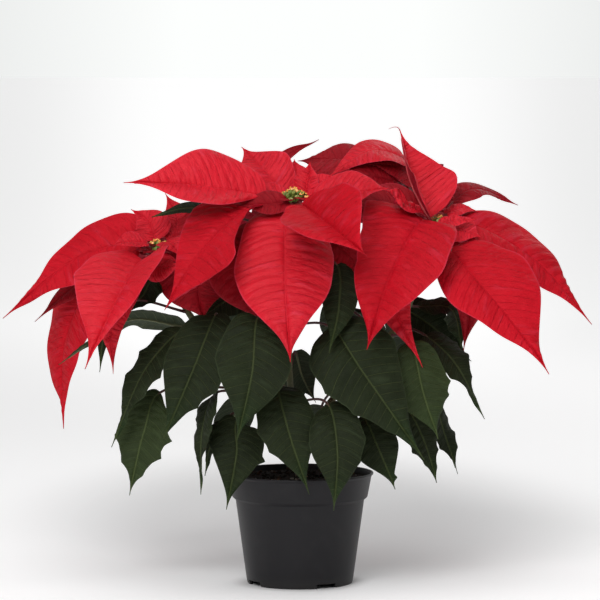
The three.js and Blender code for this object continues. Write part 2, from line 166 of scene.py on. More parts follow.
# The green leaves, each with its stem before the same row.
LEAVES = [
    ("front", 0.4, (-36, -70, 240), (-41, -96, 194), (-54, -100, 136), 63, (-90, 15), 0,
     dict(teeth=((-1, 0.42, 0.12, 0.06), (1, 0.4, 0.1, 0.04)))),
    ("left", 0.55, (-73, -45, 241), (-94, -66, 190), (-118, -72, 134), 58, (-110, 15), 0,
     dict(wave=2.4, teeth=((-1, 0.55, 0.08, 0.12), (-1, 0.7, 0.06, 0.2)))),
    ("left", 0.6, (-101, -10, 225), (-134, -22, 193), (-165, -30, 123), 34, (-130, 25), 0,
     lobed(3, widest=0.45)),
    ("left", 0.3, (-123, -5, 169), (-137, -14, 136), (-150, -16, 79), 48, (-115, 15), 0,
     lobed(2.6, tone="fresh", widest=0.5)),
    ("left", 0.25, (-74, -50, 172), (-84, -60, 145), (-86, -58, 85), 38, (-155, 10), 0,
     lobed(3, widest=0.3)),
    ("front", 0.16, (-54, -38, 149), (-55, -52, 121), (-64, -52, 71), 46, (-90, 15), 0,
     dict(teeth=((-1, 0.55, 0.05, 0.28), (-1, 0.38, 0.1, 0.07), (1, 0.35, 0.1, 0.06)))),
    ("front", 0.22, (-19, -58, 180), (-10, -79, 143), (8, -82, 88), 50, (-85, 15), 0,
     dict(teeth=((1, 0.45, 0.08, 0.08), (1, 0.62, 0.06, 0.14), (-1, 0.5, 0.1, 0.06),
                 (-1, 0.68, 0.06, 0.14)))),
    ("front", 0.19, (24, -70, 165), (32, -93, 127), (29, -90, 75), 47, (-90, 15), 0,
     dict(teeth=((1, 0.42, 0.1, 0.06), (-1, 0.4, 0.1, 0.07), (-1, 0.6, 0.06, 0.1)))),
    ("front", 0.5, (26, -58, 231), (53, -80, 195), (107, -84, 118), 76, (-90, 30), 0,
     dict(full=0.42, teeth=((1, 0.5, 0.06, 0.08), (1, 0.66, 0.05, 0.14), (1, 0.8, 0.05, 0.12)))),
    ("right", 0.55, (96, -45, 217), (107, -55, 173), (120, -56, 133), 48, (-80, 15), 0,
     dict(tone="fresh",
          teeth=((-1, 0.45, 0.06, 0.1), (-1, 0.6, 0.05, 0.16), (-1, 0.73, 0.05, 0.14), (1, 0.6, 0.08, 0.1)))),
    ("right", 0.6, (110, -12, 220), (135, -20, 197), (162, -22, 147), 42, (-45, 30), 0,
     lobed(2.6, widest=0.3)),
    ("right", 0.68, (105, 22, 243), (134, 24, 241), (144, 20, 205), 34, (-60, 60), 0, lobed(3, widest=0.5)),
    ("right", 0.2, (54, -30, 151), (69, -44, 122), (83, -46, 88), 40, (-80, 20), 0,
     dict(teeth=((-1, 0.88, 0.05, 1.6), (1, 0.5, 0.08, 0.08)))),
    ("left", 0.7, (-99, 6, 228), (-150, 6, 233), (-213, -2, 193), 37, (90, 60), 0,
     dict(wave=2.4, teeth=((1, 0.4, 0.06, 0.15), (-1, 0.55, 0.06, 0.15)))),
    ("back_left", 0.5, (-40, 70, 235), (-50, 105, 205), (-58, 118, 140), 60, (105, 20), 0),
    ("back_right", 0.5, (40, 66, 240), (52, 102, 205), (60, 118, 145), 60, (75, 20), 0),
    ("back_left", 0.3, (-14, 62, 190), (-20, 96, 160), (-26, 104, 105), 52, (95, 20), 0),
    ("back_right", 0.6, (85, 60, 230), (100, 82, 200), (110, 92, 150), 46, (45, 20), 0),
]
# Small leaves and bracts far inside the plant, or behind it, beside those that stand in the frame. Most of
# these bracts are dark with painted shade.
EXTRA_BRACTS = [
    ("back_left", 0.985, (-50, 95, 350), (-14, 82, 374), (17, 76, 390), 13, (-90, 35), 10, DARK_SHADE_PAINTED),
    ("left", 0.965, (-146, 24, 293), (-196, 36, 264), (-236, 30, 229), 30, (-120, 40), 0, DARK_SHADE_PAINTED),
    ("right", 0.97, (104, 6, 324), (72, 8, 331), (32, 6, 318), 50, (-90, 30), 0, DARK_SHADE_PAINTED),
    ("front", 0.985, (-9, -8, 336), (-32, -18, 335), (-56, -26, 334), 28, (-95, 45), 10, DARK_SHADE_PAINTED),
    ("back_right", 0.97, (104, 62, 352), (88, 54, 366), (60, 50, 368), 34, (-90, 50), 0, DARK_SHADE_PAINTED),
    ("left", 0.97, (-124, 24, 294), (-141, 32, 299), (-159, 36, 297), 28, (-90, 50), 0, DARK_SHADE_PAINTED),
]
EXTRA_LEAVES = [
    ("left", 0.8, (-128, 5, 271), (-138, 0, 255), (-156, -6, 237), 30, (-120, 30), 0, lobed()),
    ("left", 0.72, (-150, -12, 250), (-170, -24, 225), (-175, -30, 189), 14, (-110, 20), 0),
    ("left", 0.22, (-60, -30, 152), (-76, -38, 132), (-83, -40, 99), 18, (-140, 15), 0, lobed(2.4)),
    ("right", 0.62, (92, 30, 240), (117, 32, 225), (153, 34, 193), 40, (-90, 30), 0, lobed(2.6)),
    ("right", 0.35, (92, -20, 158), (108, -24, 130), (120, -24, 91), 32, (-60, 20), 0, lobed(2.4)),
    ("right", 0.42, (116, 0, 161), (129, 8, 128), (140, 8, 95), 26, (-40, 20), 0, lobed(2.4)),
    ("front", 0.8, (31, -36, 285), (34, -62, 252), (25, -92, 211), 32, (-90, 20), 0, dict(wave=2.2)),
    ("front", 0.86, (-74, 16, 328), (-101, 12, 331), (-131, 8, 323), 17, (-90, 50), 0),
    ("front", 0.3, (-4, 10, 204), (2, 14, 182), (14, 16, 158), 28, (80, -5), 0, dict(wave=2.2)),
    ("front", 0.75, (-38, 30, 266), (-62, 34, 250), (-92, 30, 230), 42, (-90, 35), 0, dict(wave=2.2)),
    ("back_left", 0.4, (-90, 50, 215), (-104, 72, 185), (-118, 80, 145), 46, (150, 25), 0, lobed()),
    ("back_right", 0.3, (20, 70, 150), (28, 100, 125), (32, 108, 80), 46, (80, 20), 0, lobed()),
    ("back_left", 0.2, (-50, 60, 160), (-62, 85, 130), (-68, 92, 90), 42, (120, 20), 0),
    ("back_right", 0.42, (84, 44, 200), (108, 56, 168), (118, 60, 120), 44, (20, 20), 0, lobed()),
]
# The youngest bracts of each head, which belong to the head's own piece.
YOUNG_BRACTS = {
    "front": [
        ((3, 4, 343), (7, 8, 357), (9, 11, 372), 24, (-110, 30), 12),
        ((-1, 11, 344), (-4, 30, 361), (-5, 44, 373), 30, (-90, 45), 8),
        ((-9, 2, 342), (-26, 4, 346), (-44, 2, 347), 20, (-90, 55), 10),
        ((9, -2, 342), (22, 0, 352), (36, 2, 360), 26, (-100, 40), 8),
    ],
    "left": [
        ((-134, 2, 300), (-149, -4, 302), (-165, -12, 299), 20, (-90, 50), 15),
        ((-128, 15, 302), (-133, 22, 317), (-150, 30, 329), 34, (-95, 35), 8),
        ((-120, 4, 300), (-113, -8, 301), (-101, -17, 286), 26, (-80, 50), 8),
        ((-124, -6, 292), (-121, -22, 281), (-103, -33, 284), 32, (-100, 40), -15),
    ],
    "right": [
        ((119, -13, 318), (136, -17, 321), (154, -18, 322), 14, (-90, 50), 0),
        ((129, 10, 325), (143, 13, 331), (158, 17, 327), 20, (-90, 65), 0),
        ((126, -6, 316), (145, -15, 312), (158, -20, 307), 30, (-80, 40), 0),
    ],
    "back_left": [
        ((-54, 104, 334), (-44, 94, 346), (-32, 86, 348), 24, (-90, 60), 5),
        ((-62, 116, 336), (-66, 128, 346), (-72, 140, 346), 26, (90, 60), 5),
    ],
    "back_right": [
        ((112, 86, 354), (120, 98, 362), (128, 110, 360), 28, (90, 60), 5),
        ((114, 76, 352), (128, 74, 360), (142, 72, 356), 22, (0, 75), 5),
    ],
}
CUP_COUNTS = {"front": 21, "left": 7, "right": 9, "back_left": 8, "back_right": 8}
COLLAR_COUNT = 5                # small bracts in a ring right under the cups, dark with painted shade
COLLAR_PATH = [(5, 1.5), (13, 2), (22, 0)]      # how far out and up their foot, middle and tip are
COLLAR_WIDTH = 17


# ---- curves and meshes ----
def unit(vectors):
    return vectors / np.maximum(np.linalg.norm(vectors, axis=-1, keepdims=True), 1e-12)


def spoke(turn, radius=1, height=0):
    """The point at a turn about the vertical axis."""
    return np.array([radius * cos(turn), radius * sin(turn), height])


def upright_turn(angle):
    """The matrix that turns rows of points about the vertical axis."""
    return np.array([spoke(angle), spoke(angle + pi / 2), (0, 0, 1)])


def run_lengths(points):
    """The way along a row of points, up to each of them."""
    return np.concatenate([[0], np.cumsum(np.linalg.norm(np.diff(points, axis=0), axis=1))])


def curve_points(points, shares):
    """Places on the centripetal Catmull-Rom curve through the points, at shares of its parameter."""
    p = np.array(points, float)
    p = np.vstack([2 * p[0] - p[1], p, 2 * p[-1] - p[-2]])
    along = np.clip(shares, 0, 1) * (len(points) - 1)
    first = np.minimum(along.astype(int), len(points) - 2)
    w = (along - first)[:, None]
    a, b, c, d = (p[first + k] for k in range(4))
    ta, tb, tc = (np.linalg.norm(q - r, axis=1)[:, None] ** 0.5 for q, r in ((b, a), (c, b), (d, c)))
    m1 = ((b - a) / ta - (c - a) / (ta + tb) + (c - b) / tb) * tb
    m2 = ((c - b) / tb - (d - b) / (tb + tc) + (d - c) / tc) * tb
    return b + m1 * w + (3 * (c - b) - 2 * m1 - m2) * w ** 2 + (2 * (b - c) + m1 + m2) * w ** 3


def curve_length(points):
    return run_lengths(curve_points(points, np.linspace(0, 1, 101)))[-1]


def even_shares(points, count):
    """Parameter shares that divide the curve into stretches of equal length."""
    fine = np.linspace(0, 1, 201)
    length = run_lengths(curve_points(points, fine))
    return np.interp(np.linspace(0, length[-1], count), length, fine)


def stem_point(stem, share):
    return curve_points(STEMS[stem], even_shares(STEMS[stem], 1001)[[round(share * 1000)]])[0]


def put_in_scene(name, data, place=(0, 0, 0), turn=(0, 0, 0)):
    obj = bpy.data.objects.new(name, data)
    obj.location, obj.rotation_euler = place, turn
    bpy.context.scene.collection.objects.link(obj)
    return obj


class Skin:
    """Collects the points, faces, materials and two UV maps of one piece."""

    def __init__(self):
        self.points, self.faces, self.looks, self.uv, self.sharp = [], [], [], [], []
        self.count = 0

    def add(self, points, faces, looks=0, uv=None, sharp=()):
        """looks is one material's number, or one for each face. uv has a row for each corner of the
        faces, in order: its place on the blade map and its place on the veins map."""
        self.points.append(points)
        self.faces += [[i + self.count for i in face] for face in faces]
        self.looks += [looks] * len(faces) if isinstance(looks, int) else looks
        self.uv.append(np.zeros((sum(map(len, faces)), 4)) if uv is None else uv)
        self.sharp += [(a + self.count, b + self.count) for a, b in sharp]
        self.count += len(points)

    def piece(self, name, *materials):
        mesh = bpy.data.meshes.new(name)
        mesh.from_pydata((np.vstack(self.points) * MM).tolist(), [], self.faces)
        for map_name, pairs in zip(("blade", "veins"), np.hsplit(np.vstack(self.uv), 2)):
            layer = mesh.uv_layers.new(name=map_name)
            layer.data.foreach_set("uv", pairs.astype(np.float32).ravel())
        for material in materials:
            mesh.materials.append(material)
        mesh.polygons.foreach_set("material_index", np.array(self.looks, np.int32))
        mesh.shade_smooth()
        if self.sharp:
            ends = np.empty(2 * len(mesh.edges), np.int32)
            mesh.edges.foreach_get("vertices", ends)
            edges, sharp = (np.sort(np.reshape(pairs, (-1, 2))) @ (self.count, 1)
                            for pairs in (ends, self.sharp))
            mesh.edges.foreach_set("use_edge_sharp", np.isin(edges, sharp))
        mesh.update()
        return put_in_scene(name, mesh)


def plain_piece(name, points, faces, *materials):
    skin = Skin()
    skin.add(points, faces)
    return skin.piece(name, *materials)


def ring_faces(rings, sides, first=0):
    """Quads between rings of points. The first ring starts at point number first."""
    starts = range(first, first + rings * sides, sides)
    return [(a + i, a + (i + 1) % sides, b + (i + 1) % sides, b + i)
            for a, b in zip(starts, starts[1:]) for i in range(sides)]


def capped_faces(rings, sides):
    """Faces of a solid that has one point at each end and rings of points between them."""
    last = 1 + rings * sides
    faces = ring_faces(rings, sides, 1)
    for i in range(sides):
        j = (i + 1) % sides
        faces += [(0, 1 + j, 1 + i), (last - sides + i, last - sides + j, last)]
    return faces


def turned(profile, sides):
    """Points and faces of a solid turned about the vertical axis, where its profile starts and ends."""
    rings = [(radius, height) for radius, height in profile if radius > 1e-6]
    points = [spoke(tau * i / sides, *ring) for ring in rings for i in range(sides)]
    return np.vstack([(0, 0, profile[0][1]), points, (0, 0, profile[-1][1])]), capped_faces(len(rings), sides)


def rounded(profile, radius, steps=4):
    """The profile with each inner corner replaced by a short arc."""
    out = [profile[0]]
    for before, corner, after in zip(profile, profile[1:], profile[2:]):
        a, b, c = (np.array(p, float) for p in (before, corner, after))
        reach = min(radius, 0.45 * np.linalg.norm(a - b), 0.45 * np.linalg.norm(c - b))
        start, end = b + unit(a - b) * reach, b + unit(c - b) * reach
        t = np.linspace(0, 1, steps + 1)[:, None]
        out += [*((1 - t) ** 2 * start + 2 * t * (1 - t) * b + t ** 2 * end)]
    return np.vstack([out, profile[-1]])


def add_turned(skin, profile, place, axis, sides, look, lobes=0, depth=0.0):
    """A turned shape about an axis through a place. lobes and depth flute it."""
    axis = unit(np.array(axis, float))
    side = unit(np.cross(axis, (0.31, 0.87, 0.2)))
    local, faces = turned(profile, sides)
    local[:, :2] *= 1 + depth * np.cos(lobes * np.arctan2(local[:, 1], local[:, 0]))[:, None]
    skin.add(local @ (side, np.cross(axis, side), axis) + place, faces, look)


def add_tube(skin, centres, radii, look, sides, lengths=None):
    """A closed round tube. Its blade map holds the place round it and along it, in metres."""
    centres, radii = np.array(centres), np.array(radii)
    tangents = unit(np.gradient(centres, axis=0))
    side = unit(np.cross(tangents[0], (0.3, 0.2, 1)))
    turns, rings = np.arange(sides) * tau / sides, []
    for centre, tangent, radius in zip(centres, tangents, radii):
        side = unit(side - tangent * np.dot(side, tangent))
        ring = np.outer(np.cos(turns), side) + np.outer(np.sin(turns), np.cross(tangent, side))
        rings.append(centre + radius * ring)
    lengths = run_lengths(centres) if lengths is None else lengths
    k, i = np.divmod(np.arange((len(rings) - 1) * sides)[:, None], sides)
    around = (i + (0, 1, 1, 0)) * tau / sides * radii[k]
    uv = np.zeros((4 * len(k) + 2 * sides, 4))
    uv[:4 * len(k), :2] = np.stack([around, lengths[k + (0, 0, 1, 1)]], -1).reshape(-1, 2) * MM
    numbers = list(range(len(rings) * sides))
    faces = ring_faces(len(rings), sides) + [numbers[:sides][::-1], numbers[-sides:]]
    skin.add(np.vstack(rings), faces, look, uv)


# ---- blades ----
PETIOLE_RADIUS = 1.15
TIP_HALF_WIDTH = 0.3
BLADE_HALF_THICKNESS = 0.2
POINTEDNESS = 1.5
MARGIN_UNEVENNESS = 0.018
GROOVE_DEPTH = 0.45             # the groove over the midrib
GROOVE_WIDTH = 1.1
MOST_COLUMNS = 20               # columns on each side of the midrib
MIDRIB_END = 0.93               # share of the blade's length where the midrib stops standing out below
THREAD_POINTS = 12


@dataclass
class Blade:
    """One leaf or bract on its stalk, which runs from the root on the stem to the blade's foot.

    On a blade that hangs tip down, hand 1 is on the left of someone who looks at its upper side.
    """
    name: str
    root: tuple
    foot: tuple
    middle: tuple
    tip: tuple
    width: float
    faces: tuple            # where its upper side looks: azimuth and elevation, in degrees
    fold: float             # how steeply its halves rise, in degrees
    widest: float | tuple = 0.4     # share of the length where it is widest, or one for each hand
    full: float | tuple = 0.55      # smaller for a blunter base, one number or one for each hand
    lean: float = 0         # how far the midrib lies towards hand 1, as a share of the half width
    quilt: float = 0.45     # height of the pillows between the side veins
    slant: float = 0.35     # how steeply the side veins run towards the tip
    arch: float = 0.1       # how much each half bulges
    wave: float = 1.6       # how far the margin rises and falls
    curl: tuple = (1, 0)    # a margin that turns up: hand and height
    teeth: tuple = ()       # points of the margin: hand, place, reach, and how far out in half widths
    crinkle: float = 0.3    # height of the short ridges across the blade
    thread: tuple = ()      # the way from the tip to the end of the thread that it runs out in
    step: float = 1.5       # distance between the rows of its grid

    def __post_init__(self):
        azimuth, elevation = map(radians, self.faces)
        self.up = spoke(azimuth, cos(elevation), sin(elevation))
        self.points = [self.root, self.foot, self.middle, self.tip]
        self.widest, self.full = (v if isinstance(v, tuple) else (v, v) for v in (self.widest, self.full))
        chance = random.Random(self.name)
        self.turns = [chance.uniform(0, tau) for _ in range(4)]
        self.waves = [(chance.uniform(-0.3, 0.3), chance.uniform(0.5, 1.3), chance.uniform(0, tau))
                      for _ in range(7)]

    def frames(self, shares):
        """Centre, tangent, side and upward normal at shares of the whole curve."""
        before, centre, after = (curve_points(self.points, np.clip(shares + step, 0, 1))
                                 for step in (-1e-4, 0, 1e-4))
        tangent = unit(after - before)
        side = unit(np.cross(tangent, self.up))
        return centre, tangent, side, np.cross(side, tangent)

    def half_widths(self, u, hand):
        mine = 0 if hand > 0 else 1
        inside = np.clip(u, 1e-6, 1 - 1e-6)
        warped = inside ** (log(0.5) / log(self.widest[mine]))
        spread = np.sin(pi * warped) ** (self.full[mine] + POINTEDNESS * inside)
        spread = np.where((u <= 0) | (u >= 1), 0, spread)
        taper = PETIOLE_RADIUS + (TIP_HALF_WIDTH - PETIOLE_RADIUS) * u
        half = taper + (self.width / 2 - taper) * spread
        for tooth_hand, share, reach, out in self.teeth:
            if tooth_hand == hand:
                half = half * (1 + out * np.clip(1 - np.abs(u - share) / reach, 0, 1) ** 1.4)
        uneven = np.sin(11 * u + self.turns[0] + hand) + 0.7 * np.sin(23 * u + self.turns[1] - hand)
        return half * (1 + MARGIN_UNEVENNESS * uneven)

    def relief(self, u, q, a, s, phase, hand, half):
        """Height of the sheet over its curve: fold, arch, pillows, margin waves and midrib groove."""
        away = np.abs(q)
        ends = np.clip(np.minimum(u, 1 - u) * 7, 0, 1)
        round_top = np.sin(pi * (phase - np.floor(phase)))
        pillow = 0.65 * round_top ** 2 + 0.35 * round_top ** 0.7 - 0.5
        fade = np.clip(np.abs(a) / 4, 0, 1) * np.clip((1 - away) * 6, 0, 1) * ends
        turn = self.turns[0 if hand < 0 else 1]
        ripple = np.sin(s / 9 + turn) + 0.6 * np.sin(s / 5.3 + 2 * turn)
        slow = np.sin(s / 17 + 2 * turn + a / 13) + 0.5 * np.sin(s / 8 - turn + a / 9)
        height = tan(radians(self.fold)) * np.abs(a) + self.arch * self.width * away * (1 - away) * ends
        height += self.quilt * pillow * fade * self.patch(s, a, phase)
        height += self.wave * ripple * away ** 2.5 * ends * 0.6
        height += (0.8 * slow + self.crinkle * self.ridges(s, a)) * fade
        if self.curl[0] == hand:
            height += self.curl[1] * np.clip((away - 0.6) / 0.4, 0, 1) ** 2 * ends
        groove = GROOVE_DEPTH * np.exp(-(a / GROOVE_WIDTH) ** 2)
        return height - groove * ends * np.clip(half / 9, 0, 1)

    def patch(self, s, a, phase):
        """The pillows differ from each other, and along each side vein."""
        one, two = self.turns[2:]
        own = np.sin(12.9 * np.floor(phase) + one)
        return 0.85 + 0.4 * own + 0.35 * np.sin(np.abs(a) / 4.5 + 3 * own + two) * np.sin(s / 11 + one)

    def ridges(self, s, a):
        """Waves that cross the blade in slightly different directions, and so break up."""
        waves = [np.sin(sideways * a + onward * s + start) for sideways, onward, start in self.waves]
        return sum(waves) / sqrt(len(waves))

    def add_to(self, skin, top, under, stalk):
        length = curve_length(self.points[1:])
        steps = np.linspace(0, 1, max(14, round(length / self.step)) + 1)
        u = 0.7 * steps + 0.3 * (1 - np.cos(pi * steps)) / 2
        centre, tangent, side, normal = self.frames((1 + 2 * u) / 3)
        s = run_lengths(centre)
        columns = int(min(MOST_COLUMNS, max(6, self.width / 2 / self.step)))
        share = (np.arange(columns + 1) / columns) ** 1.2
        q = np.concatenate([-share[:0:-1], share])
        spacing = min(9, max(3, length / 16))
        across, height = np.empty((2, len(u), len(q)))
        phases = {}
        for hand in (-1, 1):
            mine = hand * q >= 0
            half = self.half_widths(u, hand)[:, None] * (1 - hand * self.lean)
            a = half * q
            lead = s[:, None] - self.slant * np.abs(a) - 0.18 * a ** 2 / max(self.width / 2, 18)
            phase = lead / spacing + (0.5 if hand < 0 else 0)
            phases[hand] = phase + np.sin(phase * 1.7 + self.turns[2]) * 0.12
            h = self.relief(u[:, None], q, a, s[:, None], phases[hand], hand, half)
            across[:, mine], height[:, mine] = a[:, mine], h[:, mine]
        centre = centre + side * (self.lean * self.half_widths(u, 1))[:, None]
        middle = centre[:, None] + side[:, None] * across[..., None] + normal[:, None] * height[..., None]
        inner = (np.abs(q) < 1)[:, None]
        lift = normal[:, None] * BLADE_HALF_THICKNESS * inner
        self.add_sheet(skin, middle + lift, (middle - lift)[:, 1:-1], across, s, q, phases, top, under)
        self.add_stalk(skin, u, centre, normal, s, stalk)
        if self.thread:
            self.add_thread(skin, centre[-1], tangent[-1], stalk)

    def add_sheet(self, skin, upper, lower, across, s, q, phases, top, under):
        """The blade's two skins, which share the points of the margin, and its two narrow ends."""
        rows, wide = across.shape
        high = np.arange(rows * wide).reshape(rows, wide)
        low = high.copy()
        low[:, 1:-1] = rows * wide + np.arange(rows * (wide - 2)).reshape(rows, -1)

        def corners(grid):
            grid = np.broadcast_to(grid, (rows, wide))
            return np.stack([grid[:-1, :-1], grid[:-1, 1:], grid[1:, 1:], grid[1:, :-1]], -1)

        faces = np.stack([corners(high), corners(low)[..., ::-1]], 2).reshape(-1, 4).tolist()
        looks = [top, under] * (len(faces) // 2) + [under] * 2
        for i, order in ((0, -1), (-1, 1)):
            ring = low[i].tolist() + high[i, -2:0:-1].tolist()
            faces.append(ring[::order])
        phase = np.where((q[1:] <= 0)[:, None], corners(phases[-1]), corners(phases[1]))
        uv = np.stack([corners(across * MM), corners(s[:, None] * MM), phase, corners(q)], -1)
        uv = np.stack([uv, uv[:, :, ::-1]], 2).reshape(-1, 4)
        uv = np.vstack([uv, np.tile((0, 0, 0.5, 0.5), (2 * len(ring), 1))])
        sharp = [edge for side in high.T[[0, -1]].tolist() for edge in zip(side, side[1:])]
        skin.add(np.vstack([upper.reshape(-1, 3), lower.reshape(-1, 3)]), faces, looks, uv, sharp)

    def add_stalk(self, skin, u, centre, normal, s, look):
        """The stalk runs from the stem into the blade and on under it as the midrib."""
        start, _, _, up = self.frames(np.linspace(0, 1 / 3, 13)[:-1])
        free, end = len(start), u <= MIDRIB_END
        inside = np.concatenate([np.zeros(free), u[end]])
        radii = PETIOLE_RADIUS * (1 - 0.8 * inside / MIDRIB_END)
        radii[:free] *= 1 + 0.5 * np.exp(-np.arange(free) / 1.2)
        drop = (radii + 0.4) * np.clip(inside / 0.07, 0, 1)
        path = np.vstack([start, centre[end]]) - np.vstack([up, normal[end]]) * drop[:, None]
        before = run_lengths(np.vstack([start, centre[:1]]))
        lengths = np.concatenate([before[:-1] - before[-1], s[end]])
        keep_point = np.arange(len(path)) % 2 == 0
        keep_point[:free] = keep_point[-1] = True
        add_tube(skin, path[keep_point], radii[keep_point], look, 8, lengths[keep_point])

    def add_thread(self, skin, tip, onward, look):
        share = np.linspace(0, 1, THREAD_POINTS)[:, None]
        end = np.array(self.thread, float)
        bend = onward * np.linalg.norm(end) * 0.6
        path = tip - onward + 2 * share * (1 - share) * bend + share ** 2 * end
        radii, lengths = np.linspace((0.55, 20), (0.15, 30), THREAD_POINTS).T
        add_tube(skin, path, radii, look, 6, lengths)


# ---- materials ----
class Nodes:
    """Short names for the nodes of a material or a world."""

    def __init__(self, owner):
        owner.use_nodes = True
        self.owner, self.tree = owner, owner.node_tree

    def feed(self, socket, value):
        if isinstance(value, bpy.types.NodeSocket):
            self.tree.links.new(value, socket)
        else:
            socket.default_value = value

    def put(self, kind, *inputs, **settings):
        """A new node with its settings and its first inputs."""
        node = self.tree.nodes.new("ShaderNode" + kind)
        for key, value in settings.items():
            setattr(node, key, value)
        for socket, value in zip(node.inputs, inputs):
            self.feed(socket, value)
        return node

    def math(self, operation, *values):
        return self.put("Math", *values, operation=operation).outputs[0]

    def add(self, *values):
        return self.math("ADD", *values)

    def times(self, *values):
        return self.math("MULTIPLY", *values)

    def size(self, value):
        return self.math("ABSOLUTE", value)

    def blend(self, factor, low, high):
        node = self.put("Mix", factor, data_type="RGBA")
        for socket, colour in zip(node.inputs[6:8], (low, high)):
            self.feed(socket, (*colour, 1) if isinstance(colour, tuple) else colour)
        return node.outputs[2]

    def map(self, value, low, high, to_low=0, to_high=1, steps="SMOOTHSTEP"):
        return self.put("MapRange", value, low, high, to_low, to_high, interpolation_type=steps).outputs[0]

    def noise(self, vector, scale, detail=3, roughness=0.55):
        return self.put("TexNoise", vector, 0, scale, detail, roughness).outputs["Fac"]

    def voronoi(self, vector, scale, **settings):
        return self.put("TexVoronoi", vector, 0, scale, **settings).outputs["Distance"]

    def bump(self, height, distance, strength=1, normal=None):
        node = self.put("Bump", strength, distance)
        self.feed(node.inputs["Height"], height)
        if normal:
            self.feed(node.inputs["Normal"], normal)
        return node.outputs[0]

    def uv(self, name):
        return self.put("UVMap", uv_map=name).outputs[0]

    def split(self, vector):
        return self.put("SeparateXYZ", vector).outputs

    def position(self):
        return self.put("TexCoord").outputs["Object"]

    def own_tone(self):
        """A number from 0 to 1 that differs from piece to piece."""
        return self.put("ObjectInfo").outputs["Random"]

    def finish(self, colour, roughness, normal, gloss=0.5, **others):
        """Feeds the material's shader."""
        shader = self.tree.nodes["Principled BSDF"]
        others.update(Base_Color=colour, Roughness=roughness, Specular_IOR_Level=gloss)
        if normal:
            others["Normal"] = normal
        for key, value in others.items():
            self.feed(shader.inputs[key.replace("_", " ")], value)
        return self.owner


def surface(name):
    return Nodes(bpy.data.materials.new(name))


def blade_material(name, plain, second, dark, vein, margin, roughness, vein_width=0.08, vein_depth=0.0003,
                   vein_share=0.16, tip=None, gloss=0.15, fold_depth=0.0):
    """A blade's surface: cloudy colour, side veins, midrib, a fine net of small veins, pale margin, and along
    short folds a painted shade and a painted highlight.
    """
    n = surface(name)
    place = n.uv("blade")
    across, _, _ = n.split(place)
    phase, share, _ = n.split(n.uv("veins"))
    edge = n.size(share)
    from_vein = n.math("SUBTRACT", 0.5, n.size(n.math("SUBTRACT", n.math("FRACT", phase), 0.5)))
    side_veins = n.times(n.map(from_vein, 0, vein_width, 1, 0), n.map(edge, 0.75, 1, 1, 0.25))
    veins = n.math("MAXIMUM", side_veins, n.map(n.size(across), 0.0004, 0.0013, 1, 0))
    net = n.voronoi(place, 620, feature="DISTANCE_TO_EDGE", voronoi_dimensions="2D")
    small = n.map(net, 0, 0.14, 1, 0)
    clouds = n.noise(n.position(), 38, 4, 0.6)
    fine = n.noise(n.position(), 900, 2, 0.6)
    crinkle = n.noise(n.position(), 230, 3, 0.5)
    colour = n.blend(n.map(clouds, 0.35, 0.68), plain, second)
    if tip:
        colour = n.blend(n.map(phase, 9, 20), colour, tip)
    colour = n.blend(n.add(n.times(n.own_tone(), 0.35), n.times(fine, 0.25)), colour, dark)
    colour = n.blend(n.times(small, 0.12), colour, vein)
    colour = n.blend(n.times(veins, vein_share), colour, vein)
    colour = n.blend(n.map(edge, 0.955, 1, 0, 0.75), colour, margin)
    height = n.add(n.add(n.times(veins, -1), n.times(small, -0.22)), n.times(fine, 0.16))
    normal = n.bump(crinkle, 0.0012, 0.5, n.bump(height, vein_depth))
    if fold_depth:
        # Short folds that follow the side veins: a bump, with painted shade and a painted highlight.
        spot = n.put("CombineXYZ", n.times(phase, 1.15), n.times(across, 42), n.times(n.own_tone(), 40))
        folds = n.noise(spot.outputs[0], 1)
        normal = n.bump(folds, fold_depth, 1, normal)
        # Painted shade in the folds' troughs.
        colour = n.blend(n.map(folds, 0.28, 0.47, 0.32, 0), colour, dark)
        # A painted highlight, in the margin's colour, on the folds' crests.
        colour = n.blend(n.map(folds, 0.54, 0.74, 0, 0.4), colour, margin)
    return n.finish(colour, n.add(roughness, n.times(clouds, 0.12)), normal, gloss)


def stalk_material(name, near, far, dark):
    """A stalk: one colour by the stem, another where it runs under the blade as midrib."""
    n = surface(name)
    _, along, _ = n.split(n.uv("blade"))
    streaks = n.noise(n.position(), 140, 4, 0.6)
    colour = n.blend(n.map(along, -0.004, 0.012), near, far)
    colour = n.blend(n.map(streaks, 0.45, 0.75, 0, 0.6), colour, dark)
    return n.finish(colour, n.map(streaks, 0.3, 0.7, 0.4, 0.58), n.bump(streaks, 0.0003, 0.6), 0.35)


def stem_material():
    """Green bark that turns brown and woody towards the soil, with small pale pores."""
    n = surface("stem_bark")
    place = n.position()
    _, _, height = n.split(place)
    rough = n.noise(place, 110, 6, 0.65)
    pale = n.map(rough, 0.35, 0.7)
    green = n.blend(pale, (0.075, 0.085, 0.03), (0.11, 0.12, 0.045))
    wood = n.blend(pale, (0.065, 0.045, 0.022), (0.13, 0.1, 0.06))
    colour = n.blend(n.map(height, 0.12, 0.2), wood, green)
    colour = n.blend(n.map(height, 0.27, 0.34, 0, 0.6), colour, (0.16, 0.045, 0.03))
    pore = n.times(n.map(n.voronoi(place, 330), 0.08, 0.2, 1, 0), 0.5)
    colour = n.blend(pore, colour, (0.3, 0.25, 0.15))
    return n.finish(colour, n.map(rough, 0.3, 0.7, 0.5, 0.72), n.bump(n.add(rough, pore), 0.0006, 0.8))


